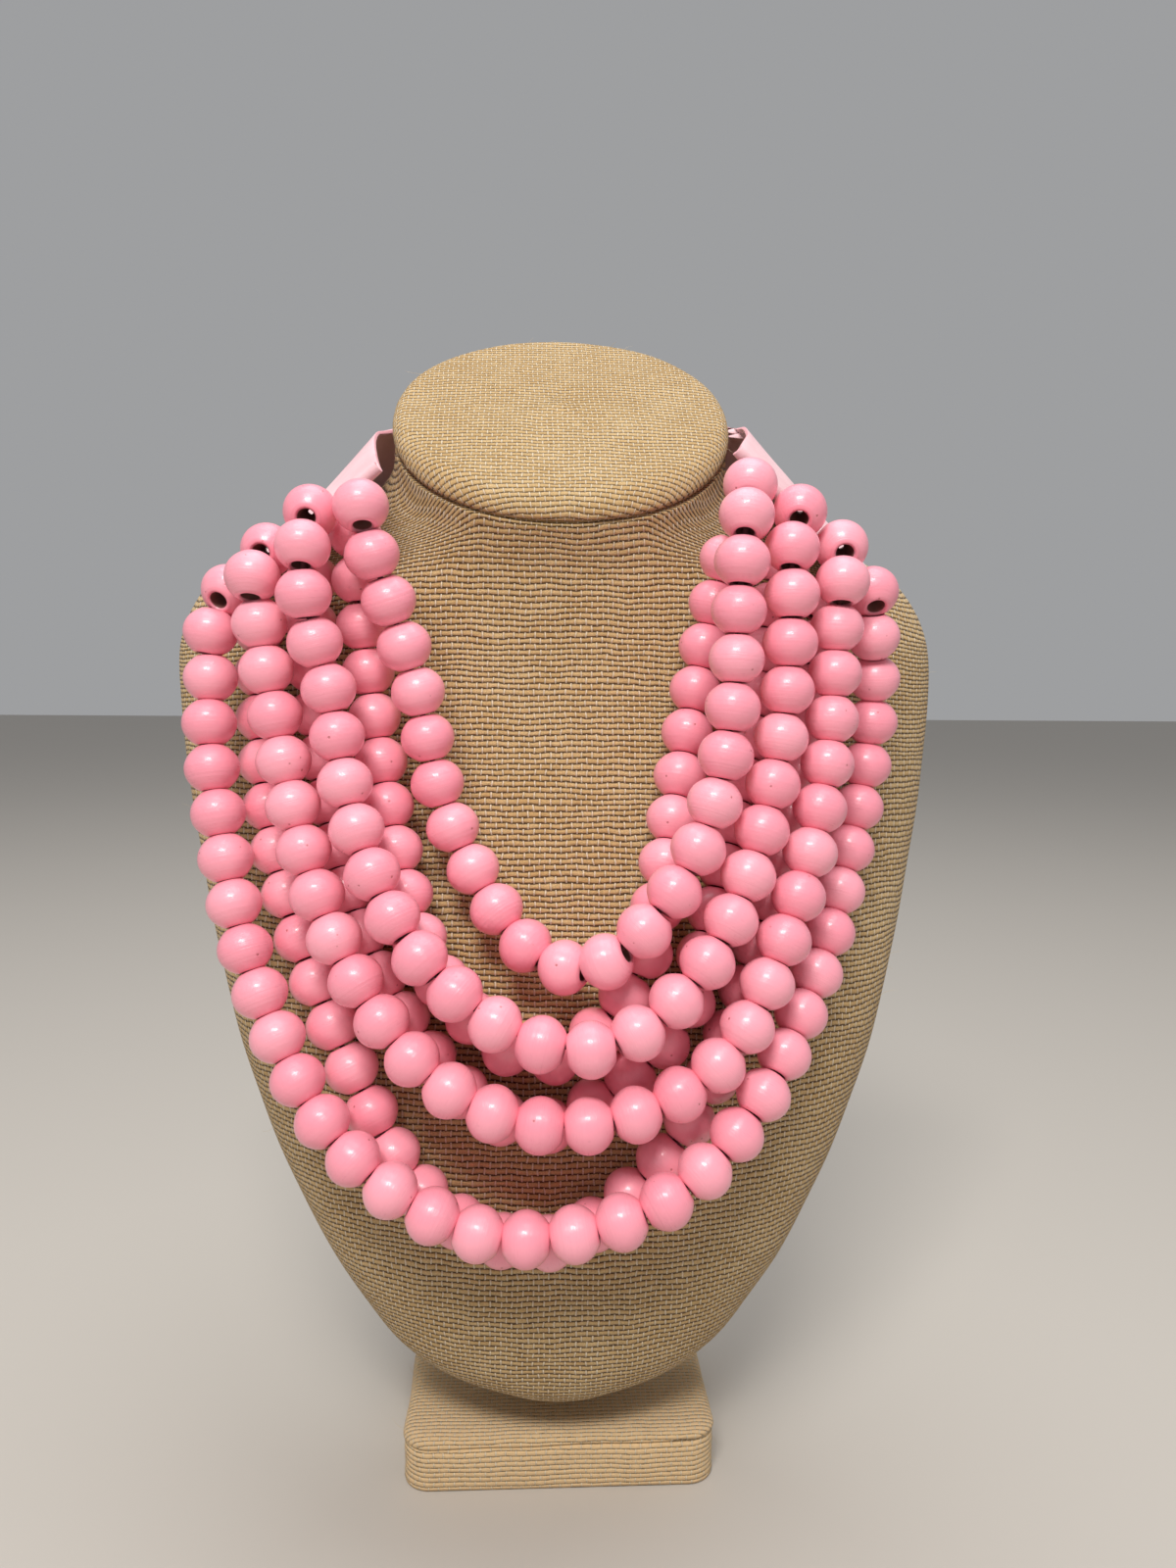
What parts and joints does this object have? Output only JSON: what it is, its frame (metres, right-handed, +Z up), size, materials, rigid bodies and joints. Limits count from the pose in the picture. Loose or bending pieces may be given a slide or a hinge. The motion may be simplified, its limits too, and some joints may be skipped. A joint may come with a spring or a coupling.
{
  "type": "beaded necklace on a burlap neck bust",
  "caption": "Multi-strand necklace of pink round wooden beads hung from two pink leather tabs, worn by a burlap-covered neck bust on a low block.",
  "frame": {"origin": "middle of the base block's underside, on the surface that the stand rests on", "axes": "+Z up along the bust's height, -Y towards the wearer's front where the beads hang, +X towards the right as seen from the front"},
  "size_m": [0.258, 0.1496, 0.3889],
  "materials": {
    "pink_paint": "satin pink paint over turned wood",
    "pink_leather": "smooth matt pale pink leather",
    "burlap": "coarse woven jute burlap"
  },
  "bodies": {
    "root": {"front_strand_1": "pink_paint", "front_strand_2": "pink_paint", "front_strand_3": "pink_paint", "front_strand_4": "pink_paint", "back_strand_1": "pink_paint", "back_strand_2": "pink_paint", "back_strand_3": "pink_paint", "leather_tab_left": "pink_leather", "leather_tab_right": "pink_leather", "back_clasp": "pink_leather", "bust_torso": "burlap", "neck_cap": "burlap", "base_block": "burlap", "stand_post": "burlap"}
  },
  "joints": []
}
